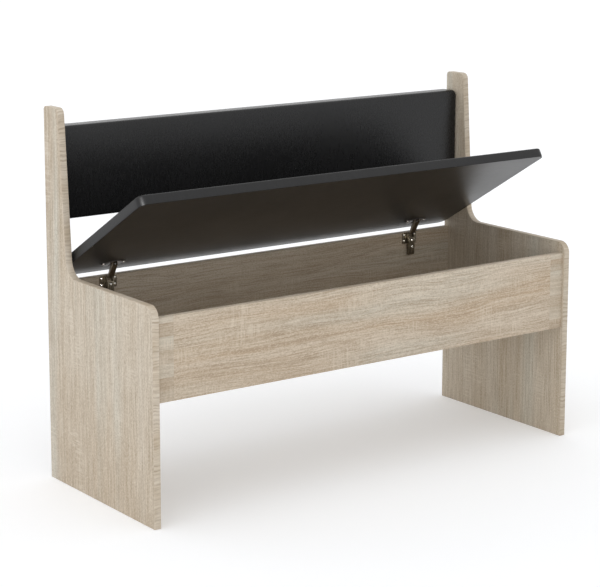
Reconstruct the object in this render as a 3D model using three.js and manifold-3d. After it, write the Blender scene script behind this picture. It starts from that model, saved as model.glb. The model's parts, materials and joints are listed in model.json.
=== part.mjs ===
// Storage bench with a hinged, upholstered lid and an upholstered backrest
// Millimetres, +Z up. The bench faces -Y, X runs along its length, and it stands on Z = 0.
// The lid is shown partly open, turned up about its rear edge on two concealed cup hinges.

import * as THREE from 'three';
import { mergeVertices } from 'three/addons/utils/BufferGeometryUtils.js';
import Module from 'manifold-3d';

const wasm = await Module();
wasm.setup();

// Driving dimensions of the whole bench
const benchLength = 1174;
const boardThickness = 16;

// Side panel: its seat level at the front and its upright at the back
const side = {
  depth: 443,
  height: 850,
  seatHeight: 479,
  seatRound: 27,
  uprightTopWidth: 63,
  uprightLowWidth: 86,
  uprightLowLevel: 520,
  uprightFillet: 58,
  topFrontRound: 15,
  topRearRound: 9,
};

// Storage box between the side panels
const box = {
  frontSetback: 5.5,
  topLevel: 453,
  panelHeight: 182,
};

// Clearances between pieces
const gap = {
  seat: 0.3,
  screw: 0.3,
  pivot: 0.3,
  linkSide: 0.4,
  lidEnd: 4,
  lidRest: 0.8,
};

// Upholstered seat lid
const lid = {
  depth: 434.5,
  thickness: 22.1,
  cover: 1,
  cornerRadius: 18,
  edgeRound: 4,
  crown: 1,
  crownRun: 70,
  drawIn: 0.6,
  drawHeight: 4,
  rearOverlap: 3.6,
};

// Upholstered backrest
const backrest = {
  lowLevel: 598,
  height: 208.5,
  thickness: 39.4,
  cover: 1.2,
  cornerRadius: 12,
  edgeRound: 11,
  crown: 1.5,
  crownRun: 50,
  drawIn: 0.6,
  drawHeight: 6,
};

// Cup hinge linkage. Places on the arm are measured forward of the rear panel's inner face and up from its
// top edge, and places in the cup forward of the lid's rear edge and up from its underside, lid closed.
const linkage = {
  lidOpenDegrees: 30.4,
  linkTurnDegrees: 54.5,
  armOuterForward: 7.3,
  armOuterUp: -2,
  armInnerForward: 4.7,
  armInnerUp: -7,
  cupOuterForward: 58,
  cupOuterUp: 2,
  cupInnerForward: 52,
  cupInnerUp: 1.8,
};

// Hinge pieces
const hinge = {
  fromSidePanel: 131,
  pinRadius: 1.1,
  sheet: 1.2,
};
const plate = {
  wingWidth: 45,
  wingHeight: 28,
  wingTop: -0.5,
  wingThickness: 1.6,
  wingRound: 3,
  railDepth: 8.5,
  railTop: -14,
  railLow: -52,
  noseNotchWidth: 18,
  noseNotchDepth: 13,
  screwFromMiddle: 17,
  screwPitch: 15,
  screwUpper: -6.5,
};
const arm = {
  innerWidth: 13.8,
  front: 13.5,
  rear: 2.4,
  low: -56,
  webTop: -12,
  noseRear: 1.6,
  eyeRadius: 2.3,
  lowRound: 3,
  adjusterLevel: -19,
  fixingLevel: -36,
};
const outerLink = {
  sheet: 1,
  eyeRadius: 2.6,
  neck: -1.6,
  channelDepth: 7.5,
  webStart: 5,
  webEndFromCup: 6,
};
const innerLink = {
  width: 9.6,
  halfThickness: 1.1,
  armEyeRadius: 2.6,
  cupEyeRadius: 2.75,
  slotBack: 3,
  slotAhead: 0.25,
  slotHalfWidth: 1.65,
};
const cup = {
  fromRearEdge: 45.5,
  radius: 17.3,
  depth: 11,
  floor: 1,
  wellForward: 16,
  wellBack: 15.5,
  stubDepth: 2.4,
  flangeLength: 66,
  flangeWidth: 27,
  flangeThickness: 1,
  flangeScrewFromMiddle: 26,
  flangeScrewAhead: 5.5,
  flangeEndRadius: 7,
};

// Screws
const woodScrew = { shankRadius: 1.6, length: 12.5, headRadius: 3.3, headHeight: 1.8, recess: 0.9 };
const machineScrew = { shankRadius: 1.8, length: 9.5, headRadius: 3.4, headHeight: 2, recess: 1 };
const recess = { length: 3.6, width: 0.9 };

// Cam fittings that hold the boards to the side panels
const camFit = {
  camRadius: 7.2,
  camHeight: 12.2,
  boreRadius: 7.5,
  boreDepth: 12.8,
  fromSide: 24,
  pocketLength: 12,
  pocketWidth: 6.6,
  recessLength: 8,
  recessWidth: 1.5,
  recessDepth: 1.5,
  threadRadius: 2.5,
  threadLength: 11,
  collarRadius: 3.4,
  collarLength: 1.5,
  shankRadius: 2.8,
  neckStart: 18,
  neckRadius: 1.8,
  headStart: 24.2,
  headRadius: 2.9,
  headEnd: 27,
  endBoreRadius: 4,
};

// One overrun serves every cut
const overrun = 2;

// Facet counts
const facets = { pin: 12, screw: 10, cam: 20, cup: 32, outline: 10, arc: 5, corner: 5, edge: 4, crown: 3 };

// Sizes that follow from the named ones
const innerHalf = benchLength / 2 - boardThickness;
const rearInner = side.depth - boardThickness;
const frontInner = box.frontSetback + boardThickness;
const boxLow = box.topLevel - box.panelHeight;
const midBoard = boardThickness / 2;
const hingeX = innerHalf - hinge.fromSidePanel;

// Materials with the photographed colours
const oak = new THREE.MeshStandardMaterial({ color: 0xc8bba8, roughness: 0.62, metalness: 0 });
const blackBoard = new THREE.MeshStandardMaterial({ color: 0x2b2824, roughness: 0.5, metalness: 0 });
const leatherette = new THREE.MeshStandardMaterial({ color: 0x26262a, roughness: 0.55, metalness: 0 });
const foam = new THREE.MeshStandardMaterial({ color: 0xd8d2b8, roughness: 0.95, metalness: 0 });
const darkSteel = new THREE.MeshStandardMaterial({ color: 0x4a443c, roughness: 0.35, metalness: 0.9 });
const brightSteel = new THREE.MeshStandardMaterial({ color: 0xc9c7c0, roughness: 0.3, metalness: 1 });
const zincAlloy = new THREE.MeshStandardMaterial({ color: 0xa9a9a4, roughness: 0.45, metalness: 0.9 });

// Solids and booleans
function solid(geometry) {
  geometry.deleteAttribute('normal');
  geometry.deleteAttribute('uv');
  const merged = mergeVertices(geometry);
  return new wasm.Manifold(new wasm.Mesh({
    numProp: 3,
    vertProperties: new Float32Array(merged.attributes.position.array),
    triVerts: new Uint32Array(merged.index.array),
  }));
}

function cutAll(body, tools) {
  return tools.reduce((result, tool) => result.subtract(tool), body);
}

function joinAll(bodies) {
  return bodies.reduce((result, body) => result.add(body));
}

function node(name, body, material) {
  const data = body.getMesh();
  const geometry = new THREE.BufferGeometry();
  geometry.setAttribute('position', new THREE.BufferAttribute(data.vertProperties, 3));
  geometry.setIndex(new THREE.BufferAttribute(data.triVerts, 1));
  geometry.computeVertexNormals();
  const mesh = new THREE.Mesh(geometry, material);
  mesh.name = name;
  return mesh;
}

function groupAt(x, y, z) {
  const group = new THREE.Group();
  group.position.set(x, y, z);
  return group;
}

// Block between two corners
function block(low, high) {
  const geometry = new THREE.BoxGeometry(high[0] - low[0], high[1] - low[1], high[2] - low[2]);
  geometry.translate((high[0] + low[0]) / 2, (high[1] + low[1]) / 2, (high[2] + low[2]) / 2);
  return solid(geometry);
}

// Round rod along one axis, centred on a point
function rod(axis, radius, length, centre, count = facets.pin) {
  const geometry = new THREE.CylinderGeometry(radius, radius, length, count);
  if (axis === 'x') geometry.rotateZ(Math.PI / 2);
  if (axis === 'z') geometry.rotateX(Math.PI / 2);
  geometry.translate(...centre);
  return solid(geometry);
}

// Outline in (Y, Z), extruded along X and centred on X = 0
function panelProfile(shape, thickness) {
  const geometry = new THREE.ExtrudeGeometry(shape, {
    depth: thickness, bevelEnabled: false, curveSegments: facets.outline,
  });
  geometry.translate(0, 0, -thickness / 2);
  geometry.applyMatrix4(new THREE.Matrix4().makeBasis(
    new THREE.Vector3(0, 1, 0), new THREE.Vector3(0, 0, 1), new THREE.Vector3(1, 0, 0)));
  return solid(geometry);
}

// Outline in (forward, up), extruded across the hinge and centred on X = 0
function hingeProfile(shape, width) {
  const geometry = new THREE.ExtrudeGeometry(shape, {
    depth: width, bevelEnabled: false, curveSegments: facets.arc,
  });
  geometry.translate(0, 0, -width / 2);
  geometry.applyMatrix4(new THREE.Matrix4().makeBasis(
    new THREE.Vector3(0, -1, 0), new THREE.Vector3(0, 0, 1), new THREE.Vector3(-1, 0, 0)));
  return solid(geometry);
}

// Side panels
function sideOutline() {
  const { depth, height, seatHeight, seatRound, uprightFillet, topFrontRound, topRearRound } = side;
  const lowEdge = depth - side.uprightLowWidth;
  const run = side.uprightLowWidth - side.uprightTopWidth;
  const slope = run / (height - side.uprightLowLevel);
  const lean = Math.atan(slope);
  const edgeAt = (level) => lowEdge + slope * (level - side.uprightLowLevel);
  const filletY = edgeAt(seatHeight + uprightFillet) - uprightFillet / Math.cos(lean);
  const cornerY = edgeAt(height - topFrontRound) + topFrontRound / Math.cos(lean);
  const shape = new THREE.Shape();
  shape.moveTo(0, 0);
  shape.lineTo(0, seatHeight - seatRound);
  shape.absarc(seatRound, seatHeight - seatRound, seatRound, Math.PI, Math.PI / 2, true);
  shape.absarc(filletY, seatHeight + uprightFillet, uprightFillet, -Math.PI / 2, -lean, false);
  shape.absarc(cornerY, height - topFrontRound, topFrontRound, Math.PI - lean, Math.PI / 2, true);
  shape.absarc(depth - topRearRound, height - topRearRound, topRearRound, Math.PI / 2, 0, true);
  shape.lineTo(depth, 0);
  return shape;
}

// Where each board's cam fitting sits, and the face that its cam goes in from
const camPlaces = {
  front_panel: { y: box.frontSetback + midBoard, z: boxLow + box.panelHeight / 2, face: 'rear' },
  rear_panel: { y: rearInner + midBoard, z: boxLow + box.panelHeight / 2, face: 'rear' },
  bottom_panel: { y: (frontInner + rearInner) / 2, z: boxLow + midBoard, face: 'under' },
  backrest: { y: rearInner + midBoard, z: backrest.lowLevel + backrest.height / 2, face: 'rear' },
};

function sidePanel(name, direction) {
  const inner = direction * innerHalf;
  const middle = direction * (innerHalf + boardThickness / 2);
  const body = panelProfile(sideOutline(), boardThickness).translate([middle, 0, 0]);
  const boreLength = 2 * (camFit.threadLength + gap.screw);
  const bores = Object.values(camPlaces).map(({ y, z }) => (
    rod('x', camFit.threadRadius + gap.screw, boreLength, [inner, y, z], facets.screw)));
  return node(name, cutAll(body, bores), oak);
}

// Bores for the cam fittings at both ends of a board
function camBores({ y, z, face }) {
  return [-1, 1].flatMap((direction) => {
    const camX = direction * (innerHalf - camFit.fromSide);
    const endMiddle = direction * (innerHalf - camFit.fromSide / 2);
    const endBore = rod('x', camFit.endBoreRadius, camFit.fromSide + overrun, [endMiddle, y, z], facets.screw);
    const faceAt = midBoard + overrun;
    const length = camFit.boreDepth + overrun;
    const centre = face === 'rear'
      ? [camX, y + faceAt - length / 2, z]
      : [camX, y, z - faceAt + length / 2];
    const camBore = rod(face === 'rear' ? 'y' : 'z', camFit.boreRadius, length, centre, facets.cam);
    return [endBore, camBore];
  });
}

function boxBoard(name, low, high) {
  const bores = camBores(camPlaces[name]);
  return cutAll(block(low, high), bores);
}

// Cam: a round housing with a pocket for the bolt's head and a cross recess in its face
function camSolid(direction) {
  const { camRadius, camHeight, pocketLength, pocketWidth, recessLength, recessWidth, recessDepth } = camFit;
  const top = midBoard - gap.seat;
  const housing = rod('y', camRadius, camHeight, [0, top - camHeight / 2, 0], facets.cam);
  const pocketFar = direction * (pocketLength + overrun);
  const pocketNear = -direction * (camFit.headEnd - camFit.fromSide + gap.seat);
  const pocket = block(
    [Math.min(pocketFar, pocketNear), -pocketWidth / 2, -pocketWidth / 2],
    [Math.max(pocketFar, pocketNear), pocketWidth / 2, pocketWidth / 2]);
  const slots = [[recessLength, recessWidth], [recessWidth, recessLength]].map(([across, up]) => (
    block([-across / 2, top - recessDepth, -up / 2], [across / 2, top + overrun, up / 2])));
  return cutAll(housing, [pocket, ...slots]);
}

// Bolt: threaded into the side panel, with its head in the cam
function boltSolid(direction) {
  const profile = [
    [0, -camFit.threadLength],
    [camFit.threadRadius, -camFit.threadLength],
    [camFit.threadRadius, 0],
    [camFit.collarRadius, 0],
    [camFit.collarRadius, camFit.collarLength],
    [camFit.shankRadius, camFit.collarLength],
    [camFit.shankRadius, camFit.neckStart],
    [camFit.neckRadius, camFit.neckStart],
    [camFit.neckRadius, camFit.headStart],
    [camFit.headRadius, camFit.headStart],
    [camFit.headRadius, camFit.headEnd],
    [0, camFit.headEnd],
  ].map(([radius, along]) => new THREE.Vector2(radius, along));
  const geometry = new THREE.LatheGeometry(profile, facets.screw);
  geometry.rotateZ(direction * Math.PI / 2);
  return solid(geometry);
}

function camFittings(boardName) {
  const { y, z, face } = camPlaces[boardName];
  const group = new THREE.Group();
  [['left', -1], ['right', 1]].forEach(([end, direction]) => {
    const cam = node(`${boardName}_${end}_cam`, camSolid(direction), zincAlloy);
    cam.position.set(direction * (innerHalf - camFit.fromSide), y, z);
    if (face === 'under') cam.rotation.x = -Math.PI / 2;
    const bolt = node(`${boardName}_${end}_bolt`, boltSolid(direction), brightSteel);
    bolt.position.set(direction * innerHalf, y, z);
    group.add(cam, bolt);
  });
  return group;
}

// Pads: a stack of rounded rectangles, closed at both ends
function roundedRing(halfLength, front, rear, radius, z) {
  const centres = [
    [halfLength - radius, rear - radius, 0],
    [-halfLength + radius, rear - radius, Math.PI / 2],
    [-halfLength + radius, front + radius, Math.PI],
    [halfLength - radius, front + radius, 3 * Math.PI / 2],
  ];
  return centres.flatMap(([x, y, start]) => (
    Array.from({ length: facets.corner + 1 }, (_, step) => {
      const angle = start + (Math.PI / 2) * (step / facets.corner);
      return [x + radius * Math.cos(angle), y + radius * Math.sin(angle), z];
    })));
}

function loft(rings) {
  const count = rings[0].length;
  const middle = (ring) => [0, (ring[0][1] + ring[count / 2][1]) / 2, ring[0][2]];
  const points = [...rings.flat(), middle(rings[0]), middle(rings[rings.length - 1])];
  const lowMiddle = points.length - 2;
  const highMiddle = points.length - 1;
  const lastRing = (rings.length - 1) * count;
  const faces = [];
  for (let step = 0; step < count; step += 1) {
    const next = (step + 1) % count;
    faces.push(next, step, lowMiddle);
    faces.push(lastRing + step, lastRing + next, highMiddle);
    for (let row = 0; row < rings.length - 1; row += 1) {
      const low = row * count;
      const high = low + count;
      faces.push(low + step, low + next, high + next);
      faces.push(low + step, high + next, high + step);
    }
  }
  const geometry = new THREE.BufferGeometry();
  geometry.setAttribute('position', new THREE.Float32BufferAttribute(points.flat(), 3));
  geometry.setIndex(faces);
  return solid(geometry);
}

// Rounded and crowned top of a pad, at one depth below its outer skin
function crownedRings(pad, skin, ringAt) {
  const round = pad.edgeRound - skin;
  const top = pad.thickness - skin;
  const rings = [];
  for (let step = 0; step <= facets.edge; step += 1) {
    const angle = (Math.PI / 2) * (step / facets.edge);
    rings.push(ringAt(skin + round * (1 - Math.cos(angle)), top - round * (1 - Math.sin(angle))));
  }
  for (let step = 1; step <= facets.crown; step += 1) {
    const share = step / facets.crown;
    const rise = pad.crown * Math.sin(share * Math.PI / 2);
    rings.push(ringAt(pad.edgeRound + pad.crownRun * share, top + rise));
  }
  return rings;
}

// Board, foam and cover of a pad. The board's outer face is Z = 0 and the pad runs back to Y = 0.
function upholsteredPad(pad) {
  const ringAt = (inset, z) => roundedRing(
    pad.halfLength - inset, -pad.depth + inset, -inset, Math.max(pad.cornerRadius - inset, gap.seat), z);
  const boardInset = pad.drawIn + pad.cover + gap.seat;
  const cavityInset = pad.drawIn + pad.cover;
  const foamLow = boardThickness + gap.seat;
  const foamSkin = pad.cover + gap.seat;
  const outer = loft([
    ringAt(pad.drawIn, 0),
    ringAt(0, pad.drawHeight),
    ...crownedRings(pad, 0, ringAt),
  ]);
  const cavity = loft([
    ringAt(cavityInset, -overrun),
    ringAt(cavityInset, foamLow - gap.seat / 2),
    ...crownedRings(pad, pad.cover, ringAt),
  ]);
  const foamBody = loft([
    ringAt(boardInset, foamLow),
    ...crownedRings(pad, foamSkin, ringAt),
  ]);
  const board = loft([ringAt(boardInset, 0), ringAt(boardInset, boardThickness)]);
  return { board, foamBody, cover: outer.subtract(cavity) };
}

// Where the four pivots stand, as (forward, up)
const flat = (forward, up) => new THREE.Vector2(forward, up);
const turned = (vector, angle) => vector.clone().rotateAround(flat(0, 0), angle);
const armOuter = flat(linkage.armOuterForward, linkage.armOuterUp);
const armInner = flat(linkage.armInnerForward, linkage.armInnerUp);
const cupOuter = flat(linkage.cupOuterForward, linkage.cupOuterUp);
const cupInner = flat(linkage.cupInnerForward, linkage.cupInnerUp);
const closedEdge = flat(-lid.rearOverlap, gap.lidRest);
const lidAngle = THREE.MathUtils.degToRad(linkage.lidOpenDegrees);
const closedReach = closedEdge.clone().add(cupOuter).sub(armOuter);
const outerLength = closedReach.length();
const outerAngle = closedReach.angle() + THREE.MathUtils.degToRad(linkage.linkTurnDegrees);
const openOuter = armOuter.clone().add(turned(flat(outerLength, 0), outerAngle));
const openEdge = openOuter.clone().sub(turned(cupOuter, lidAngle));
const openInner = openEdge.clone().add(turned(cupInner, lidAngle));
const innerReach = openInner.clone().sub(armInner);
const innerLength = innerReach.length();
const innerAngle = innerReach.angle();

const armOutside = arm.innerWidth + 2 * hinge.sheet;
const linkOutside = arm.innerWidth - 2 * gap.linkSide;
const linkInside = linkOutside - 2 * outerLink.sheet;
const wellWidth = arm.innerWidth;
const pinHole = hinge.pinRadius + gap.pivot;

// Screw with a domed head and a cross recess, pointing down from Z = 0 under its head
function screwSolid(screw) {
  const { shankRadius, length, headRadius, headHeight } = screw;
  const profile = [flat(0, -length), flat(shankRadius / 2, -length), flat(shankRadius, -length + shankRadius)];
  profile.push(flat(shankRadius, 0), flat(headRadius, 0), flat(headRadius, headHeight / 3));
  profile.push(flat(headRadius * 2 / 3, headHeight * 5 / 6), flat(0, headHeight));
  const geometry = new THREE.LatheGeometry(profile, facets.screw);
  geometry.rotateX(Math.PI / 2);
  const half = recess.length / 2;
  const thin = recess.width / 2;
  const low = headHeight - screw.recess;
  const slots = [
    block([-half, -thin, low], [half, thin, headHeight + overrun]),
    block([-thin, -half, low], [thin, half, headHeight + overrun]),
  ];
  return cutAll(solid(geometry), slots);
}

// Mounting plate: two wings screwed to the rear panel and a rail under the arm
function plateSolid() {
  const wingLow = plate.wingTop - plate.wingHeight;
  const half = plate.wingWidth / 2;
  const round = plate.wingRound;
  const outline = new THREE.Shape();
  outline.absarc(half - round, plate.wingTop - round, round, 0, Math.PI / 2, false);
  outline.absarc(-half + round, plate.wingTop - round, round, Math.PI / 2, Math.PI, false);
  outline.absarc(-half + round, wingLow + round, round, Math.PI, 3 * Math.PI / 2, false);
  outline.absarc(half - round, wingLow + round, round, 3 * Math.PI / 2, 2 * Math.PI, false);
  const sheet = new THREE.ExtrudeGeometry(outline, {
    depth: plate.wingThickness, bevelEnabled: false, curveSegments: facets.arc,
  });
  sheet.rotateX(Math.PI / 2);
  const railHalf = arm.innerWidth / 2 - gap.linkSide;
  const rail = block([-railHalf, -plate.railDepth, plate.railLow], [railHalf, 0, plate.railTop]);
  const notch = block(
    [-plate.noseNotchWidth / 2, -plate.railDepth, plate.wingTop - plate.noseNotchDepth],
    [plate.noseNotchWidth / 2, overrun, plate.wingTop + overrun]);
  const screwHoles = plateScrewPlaces().map(([x, z]) => (
    rod('y', woodScrew.shankRadius + gap.screw, 4 * plate.wingThickness, [x, 0, z], facets.screw)));
  const railBores = [arm.adjusterLevel, arm.fixingLevel].map((z) => (
    rod('y', machineScrew.shankRadius + gap.screw, 2 * machineScrew.length, [0, -arm.front, z], facets.screw)));
  return cutAll(cutAll(solid(sheet), [notch]).add(rail), [...screwHoles, ...railBores]);
}

function plateScrewPlaces() {
  const levels = [plate.screwUpper, plate.screwUpper - plate.screwPitch];
  return [-1, 1].flatMap((direction) => levels.map((z) => [direction * plate.screwFromMiddle, z]));
}

// Arm: a folded channel over the rail, with two pivot eyes at its nose
function armSolid() {
  const { front, rear, low, webTop, noseRear, eyeRadius, lowRound } = arm;
  const outline = new THREE.Shape();
  outline.moveTo(rear, low);
  outline.lineTo(front - lowRound, low);
  outline.absarc(front - lowRound, low + lowRound, lowRound, -Math.PI / 2, 0, false);
  outline.lineTo(front, webTop);
  outline.absarc(armOuter.x, armOuter.y, eyeRadius, -Math.PI / 8, Math.PI * 5 / 8, false);
  outline.lineTo(noseRear, armInner.y + eyeRadius);
  outline.lineTo(noseRear, armInner.y - eyeRadius);
  outline.lineTo(rear, webTop);
  const body = hingeProfile(outline, armOutside);
  const half = arm.innerWidth / 2;
  const channel = block([-half, -front + hinge.sheet, low - overrun], [half, overrun, overrun + eyeRadius]);
  const noseCut = block([-half, -front - overrun, webTop], [half, overrun, overrun + eyeRadius]);
  const holes = [armOuter, armInner].map(({ x, y }) => (
    rod('x', pinHole, armOutside + overrun, [0, -x, y])));
  const screwHoles = [arm.adjusterLevel, arm.fixingLevel].map((z) => (
    rod('y', machineScrew.shankRadius + gap.screw, 4 * hinge.sheet, [0, -front, z], facets.screw)));
  return cutAll(body, [channel, noseCut, ...holes, ...screwHoles]);
}

// Outer link: a swan-necked channel with a stub at each end, drawn from the arm pivot along +forward
function outerLinkSolid() {
  const { sheet, eyeRadius, neck, channelDepth, webStart, webEndFromCup } = outerLink;
  const webEnd = outerLength - webEndFromCup;
  const outline = new THREE.Shape();
  outline.absarc(0, 0, eyeRadius, Math.PI * 9 / 8, Math.PI / 6, true);
  outline.lineTo(2 * eyeRadius, neck);
  outline.lineTo(outerLength - 2 * eyeRadius, neck);
  outline.absarc(outerLength, 0, eyeRadius, Math.PI, -Math.PI / 4, true);
  outline.lineTo(webEnd, -channelDepth);
  outline.lineTo(webStart, -channelDepth);
  const body = hingeProfile(outline, linkOutside);
  const half = linkInside / 2;
  const hollow = block(
    [-half, -outerLength - 2 * eyeRadius, -channelDepth + sheet], [half, 2 * eyeRadius, 2 * eyeRadius]);
  const ends = [
    block([-half, -webStart, -channelDepth - overrun], [half, 2 * eyeRadius, overrun]),
    block([-half, -outerLength - 2 * eyeRadius, -channelDepth - overrun], [half, -webEnd, overrun]),
  ];
  const armStub = (armOutside - linkInside) / 2;
  const cupStub = (wellWidth - linkInside) / 2 + cup.stubDepth - gap.pivot;
  const stubs = [-1, 1].flatMap((direction) => [
    rod('x', hinge.pinRadius, armStub, [direction * (half + armStub / 2), 0, 0]),
    rod('x', hinge.pinRadius, cupStub, [direction * (half + cupStub / 2), -outerLength, 0]),
  ]);
  return joinAll([cutAll(body, [hollow, ...ends]), ...stubs]);
}

// Inner link: a flat bar with a round eye on the arm and a slotted eye in the cup
function innerLinkSolid() {
  const { width, halfThickness, armEyeRadius, cupEyeRadius, slotBack, slotAhead, slotHalfWidth } = innerLink;
  const ahead = innerLength + slotAhead;
  const back = innerLength - slotBack;
  const bar = block([-width / 2, -innerLength, -halfThickness], [width / 2, 0, halfThickness]);
  const armEye = rod('x', armEyeRadius, width, [0, 0, 0]);
  const eyeAt = (radius, length) => joinAll([
    rod('x', radius, length, [0, -ahead, 0]),
    rod('x', radius, length, [0, -back, 0]),
    block([-length / 2, -ahead, -radius], [length / 2, -back, radius]),
  ]);
  const body = joinAll([bar, armEye, eyeAt(cupEyeRadius, width)]);
  return cutAll(body, [
    rod('x', pinHole, width + overrun, [0, 0, 0]),
    eyeAt(slotHalfWidth, width + overrun),
  ]);
}

// Cup: a round housing let into the lid's underside, with a well for the links and a screwed flange
function cupSolid() {
  const top = cup.depth;
  const shell = rod('z', cup.radius, top + gap.seat, [0, 0, (top - gap.seat) / 2], facets.cup);
  const flangeY = -cup.flangeScrewAhead;
  const half = cup.flangeLength / 2;
  const endRadius = cup.flangeEndRadius;
  const wide = cup.flangeWidth / 2;
  const outline = new THREE.Shape();
  outline.absarc(half - endRadius, flangeY, endRadius, -Math.PI / 2, Math.PI / 2, false);
  outline.lineTo(cup.radius, wide);
  outline.lineTo(-cup.radius, wide);
  outline.absarc(-half + endRadius, flangeY, endRadius, Math.PI / 2, 3 * Math.PI / 2, false);
  outline.lineTo(-cup.radius, -cup.radius);
  outline.lineTo(cup.radius, -cup.radius);
  const sheet = new THREE.ExtrudeGeometry(outline, {
    depth: cup.flangeThickness, bevelEnabled: false, curveSegments: facets.arc,
  });
  sheet.translate(0, 0, -gap.seat - cup.flangeThickness);
  const well = block(
    [-wellWidth / 2, -cup.wellForward, -overrun - cup.flangeThickness],
    [wellWidth / 2, cup.wellBack, top - cup.floor]);
  const pinLength = wellWidth + 2 * cup.stubDepth;
  const pinHoles = [cupOuter, cupInner].map(({ x, y }) => (
    rod('x', pinHole, pinLength, [0, cup.fromRearEdge - x, y])));
  const screwHoles = cupScrewPlaces().map(([x, y]) => (
    rod('z', woodScrew.shankRadius + gap.screw, 8 * cup.flangeThickness, [x, y, 0], facets.screw)));
  return cutAll(shell.add(solid(sheet)), [well, ...pinHoles, ...screwHoles]);
}

function cupScrewPlaces() {
  return [-1, 1].map((direction) => [direction * cup.flangeScrewFromMiddle, -cup.flangeScrewAhead]);
}

// Pieces of one hinge that stay on the rear panel, and its two links
function hingeOnPanel(name, x) {
  const group = groupAt(x, rearInner, box.topLevel);
  group.add(node(`${name}_plate`, plateSolid(), darkSteel));
  group.add(node(`${name}_arm`, armSolid(), darkSteel));
  plateScrewPlaces().forEach(([screwX, z], index) => {
    const screw = node(`${name}_plate_screw_${index + 1}`, screwSolid(woodScrew), brightSteel);
    screw.position.set(screwX, -plate.wingThickness - gap.seat, z);
    screw.rotation.x = Math.PI / 2;
    group.add(screw);
  });
  [['adjusting_screw', arm.adjusterLevel], ['fixing_screw', arm.fixingLevel]].forEach(([label, z]) => {
    const screw = node(`${name}_${label}`, screwSolid(machineScrew), brightSteel);
    screw.position.set(0, -arm.front - gap.seat, z);
    screw.rotation.x = Math.PI / 2;
    group.add(screw);
  });
  const armPin = rod('x', hinge.pinRadius, armOutside, [0, -armInner.x, armInner.y]);
  group.add(node(`${name}_arm_pin`, armPin, brightSteel));
  const outer = groupAt(0, -armOuter.x, armOuter.y);
  outer.rotation.x = -outerAngle;
  outer.add(node(`${name}_outer_link`, outerLinkSolid(), darkSteel));
  const inner = groupAt(0, -armInner.x, armInner.y);
  inner.rotation.x = -innerAngle;
  inner.add(node(`${name}_inner_link`, innerLinkSolid(), darkSteel));
  group.add(outer, inner);
  return group;
}

// Pieces of one hinge that move with the lid
function hingeOnLid(name, x) {
  const group = groupAt(x, -cup.fromRearEdge, 0);
  group.add(node(`${name}_cup`, cupSolid(), darkSteel));
  const pinLength = wellWidth + 2 * (cup.stubDepth - gap.pivot);
  const pin = rod('x', hinge.pinRadius, pinLength, [0, cup.fromRearEdge - cupInner.x, cupInner.y]);
  group.add(node(`${name}_cup_pin`, pin, brightSteel));
  cupScrewPlaces().forEach(([screwX, y], index) => {
    const screw = node(`${name}_cup_screw_${index + 1}`, screwSolid(woodScrew), brightSteel);
    screw.position.set(screwX, y, -2 * gap.seat - cup.flangeThickness);
    screw.rotation.x = Math.PI;
    group.add(screw);
  });
  return group;
}

// Lid, turned open about its links
function buildLid() {
  const group = groupAt(0, rearInner - openEdge.x, box.topLevel + openEdge.y);
  group.rotation.x = -lidAngle;
  const pad = upholsteredPad({ ...lid, halfLength: innerHalf - gap.lidEnd });
  const bores = [-hingeX, hingeX].flatMap((x) => [
    rod('z', cup.radius + gap.seat, 2 * (cup.depth + gap.seat), [x, -cup.fromRearEdge, 0], facets.cup),
    ...cupScrewPlaces().map(([screwX, y]) => (
      rod('z', woodScrew.shankRadius + gap.screw, 2 * woodScrew.length,
        [x + screwX, y - cup.fromRearEdge, 0], facets.screw))),
  ]);
  group.add(node('seat_board', cutAll(pad.board, bores), blackBoard));
  group.add(node('seat_foam', pad.foamBody, foam));
  group.add(node('seat_cover', pad.cover, leatherette));
  group.add(hingeOnLid('left_hinge', -hingeX));
  group.add(hingeOnLid('right_hinge', hingeX));
  return group;
}

// Backrest between the uprights, its board at the back
function buildBackrest() {
  const group = groupAt(0, side.depth, backrest.lowLevel + backrest.height);
  group.rotation.x = Math.PI / 2;
  const pad = upholsteredPad({ ...backrest, depth: backrest.height, halfLength: innerHalf - gap.seat });
  const bores = camBores(camPlaces.backrest).map((bore) => (
    bore.translate([0, -side.depth, -backrest.lowLevel - backrest.height]).rotate([-90, 0, 0])));
  group.add(node('backrest_board', cutAll(pad.board, bores), oak));
  group.add(node('backrest_foam', pad.foamBody, foam));
  const endBores = [bores[0], bores[2]];
  group.add(node('backrest_cover', cutAll(pad.cover, endBores), leatherette));
  return group;
}

// Boards of the storage box
function buildBox() {
  const group = new THREE.Group();
  const front = boxBoard('front_panel',
    [-innerHalf, box.frontSetback, boxLow], [innerHalf, frontInner, box.topLevel]);
  const rear = boxBoard('rear_panel', [-innerHalf, rearInner, boxLow], [innerHalf, side.depth, box.topLevel]);
  const bottom = boxBoard('bottom_panel',
    [-innerHalf, frontInner, boxLow], [innerHalf, rearInner, boxLow + boardThickness]);
  const screwBores = [-hingeX, hingeX].flatMap((x) => (
    plateScrewPlaces().map(([screwX, z]) => rod('y', woodScrew.shankRadius + gap.screw,
      2 * (woodScrew.length - plate.wingThickness), [x + screwX, rearInner, box.topLevel + z], facets.screw))));
  group.add(node('front_panel', front, oak));
  group.add(node('rear_panel', cutAll(rear, screwBores), oak));
  group.add(node('bottom_panel', bottom, oak));
  return group;
}

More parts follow.
